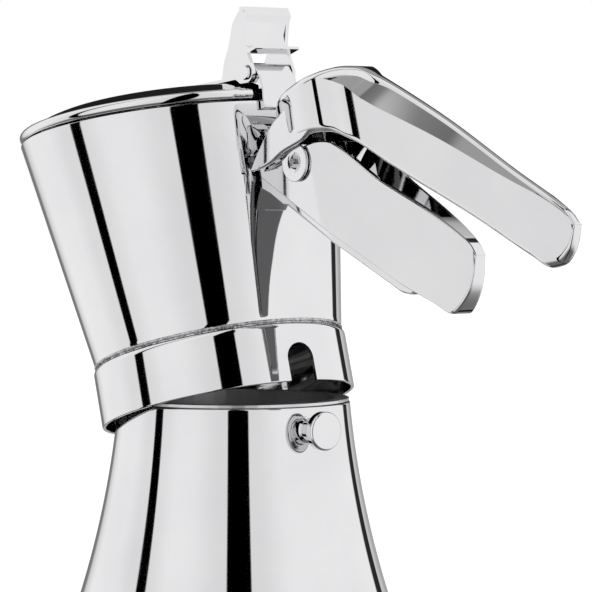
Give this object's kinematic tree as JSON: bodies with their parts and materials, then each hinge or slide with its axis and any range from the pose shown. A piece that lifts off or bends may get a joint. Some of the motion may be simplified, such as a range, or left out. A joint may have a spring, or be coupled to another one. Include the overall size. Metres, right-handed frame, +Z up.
{
  "type": "moka pot",
  "caption": "Polished steel stovetop coffee maker with a flared boiler, a collector that tilts off on a front hook, a hinged lid and a two-part lever-lock handle.",
  "frame": {"origin": "centre of the base disc's underside", "axes": "+Z up along the boiler's axis, +X towards the handle, -X towards the pouring lip"},
  "size_m": [0.229, 0.1048, 0.2014],
  "materials": {
    "polished_steel": "mirror polished stainless steel",
    "brushed_steel": "turned and brushed",
    "spring_steel": "bright drawn",
    "aluminium": "satin",
    "brass": "machined",
    "seal_rubber": "matt off-white silicone"
  },
  "bodies": {
    "boiler": {"base_disc": "brushed_steel", "boiler_shell": "polished_steel", "lock_stud": "polished_steel", "front_hook_bracket": "polished_steel", "front_hook_pin": "polished_steel", "valve_body": "brass", "valve_washer": "seal_rubber", "valve_nut": "brass", "valve_spring": "spring_steel", "funnel_basket": "aluminium", "funnel_sieve": "aluminium"},
    "valve_poppet": {"valve_plunger": "brass"},
    "collector": {"collar": "polished_steel", "collar_tongue": "polished_steel", "cone_shell": "polished_steel", "chamber_floor": "polished_steel", "coffee_column": "polished_steel", "column_cap": "polished_steel", "gasket": "seal_rubber", "filter_plate": "polished_steel", "lid_hinge_bracket": "polished_steel", "lid_hinge_pin": "polished_steel", "lower_handle": "polished_steel", "handle_spine": "polished_steel", "pivot_screw": "polished_steel", "pivot_nut": "polished_steel", "lever_friction_spring": "spring_steel"},
    "lever": {"upper_lever": "polished_steel", "lever_tongue": "polished_steel"},
    "lid": {"lid_shell": "polished_steel", "lid_tab": "polished_steel"},
    "latch": {"latch_strip": "spring_steel"}
  },
  "joints": [
    {"name": "collector_tilt", "type": "hinge", "parent": "boiler", "child": "collector", "pos_m": [-0.03976, 0, 0.06648], "axis": [0, -1, 0], "range_deg": [-15.88, 10]},
    {"name": "lever_press", "type": "hinge", "parent": "collector", "child": "lever", "pos_m": [0.04296, 0, 0.15564], "axis": [0, 1, 0], "range_deg": [0, 5]},
    {"name": "lid_hinge", "type": "hinge", "parent": "collector", "child": "lid", "pos_m": [0.01651, 0, 0.18211], "axis": [0, 1, 0], "range_deg": [0, 95]},
    {"name": "latch_turn", "type": "hinge", "parent": "collector", "child": "latch", "pos_m": [-0.00776, 0, 0.09931], "axis": [-0.2736, 0, 0.9618], "range_deg": [-16.5, 0]},
    {"name": "valve_lift", "type": "slide", "parent": "boiler", "child": "valve_poppet", "axis": [-0.8432, 0.4868, 0.2282], "range_m": [0, 0.0015], "stiffness_N_per_m": 400, "springref_m": -0.004, "deforming": ["valve_spring"]}
  ],
  "couplings": [
    {"joint": "latch_turn", "follows": "lever_press", "ratio": -3.2}
  ]
}
